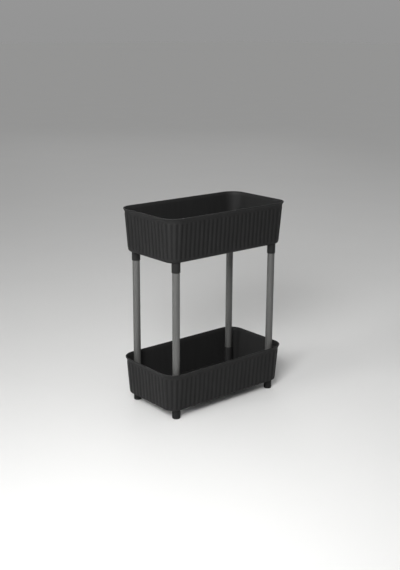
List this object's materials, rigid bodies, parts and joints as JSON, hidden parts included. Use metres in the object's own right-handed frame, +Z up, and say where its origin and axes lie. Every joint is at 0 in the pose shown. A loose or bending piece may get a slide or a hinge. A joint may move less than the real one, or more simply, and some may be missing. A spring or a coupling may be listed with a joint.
{
  "type": "two-tier organizer shelf",
  "caption": "Free-standing organizer shelf: a deep ribbed tray carried on round posts above a shallower tray that stands on short feet.",
  "frame": {"origin": "on the floor, under the middle of the shelf", "axes": "+X along the long side, +Y along the depth towards the back, +Z up along the posts"},
  "size_m": [0.463, 0.253, 0.604],
  "materials": {
    "charcoal": "moulded, fine matte grain",
    "post_grey": "satin, smooth",
    "foot_black": "matte"
  },
  "bodies": {
    "base": {"lower_tray": "charcoal", "foot_front_left": "foot_black", "foot_front_right": "foot_black", "foot_rear_left": "foot_black", "foot_rear_right": "foot_black"},
    "posts": {"post_front_left": "post_grey", "post_front_right": "post_grey", "post_rear_left": "post_grey", "post_rear_right": "post_grey"},
    "upper": {"upper_tray": "charcoal"}
  },
  "joints": [
    {"name": "posts_lift", "type": "slide", "parent": "base", "child": "posts", "axis": [0, 0, 1], "range_m": [0, 0.053]},
    {"name": "upper_tray_lift", "type": "slide", "parent": "posts", "child": "upper", "axis": [0, 0, 1], "range_m": [0, 0.028]}
  ]
}
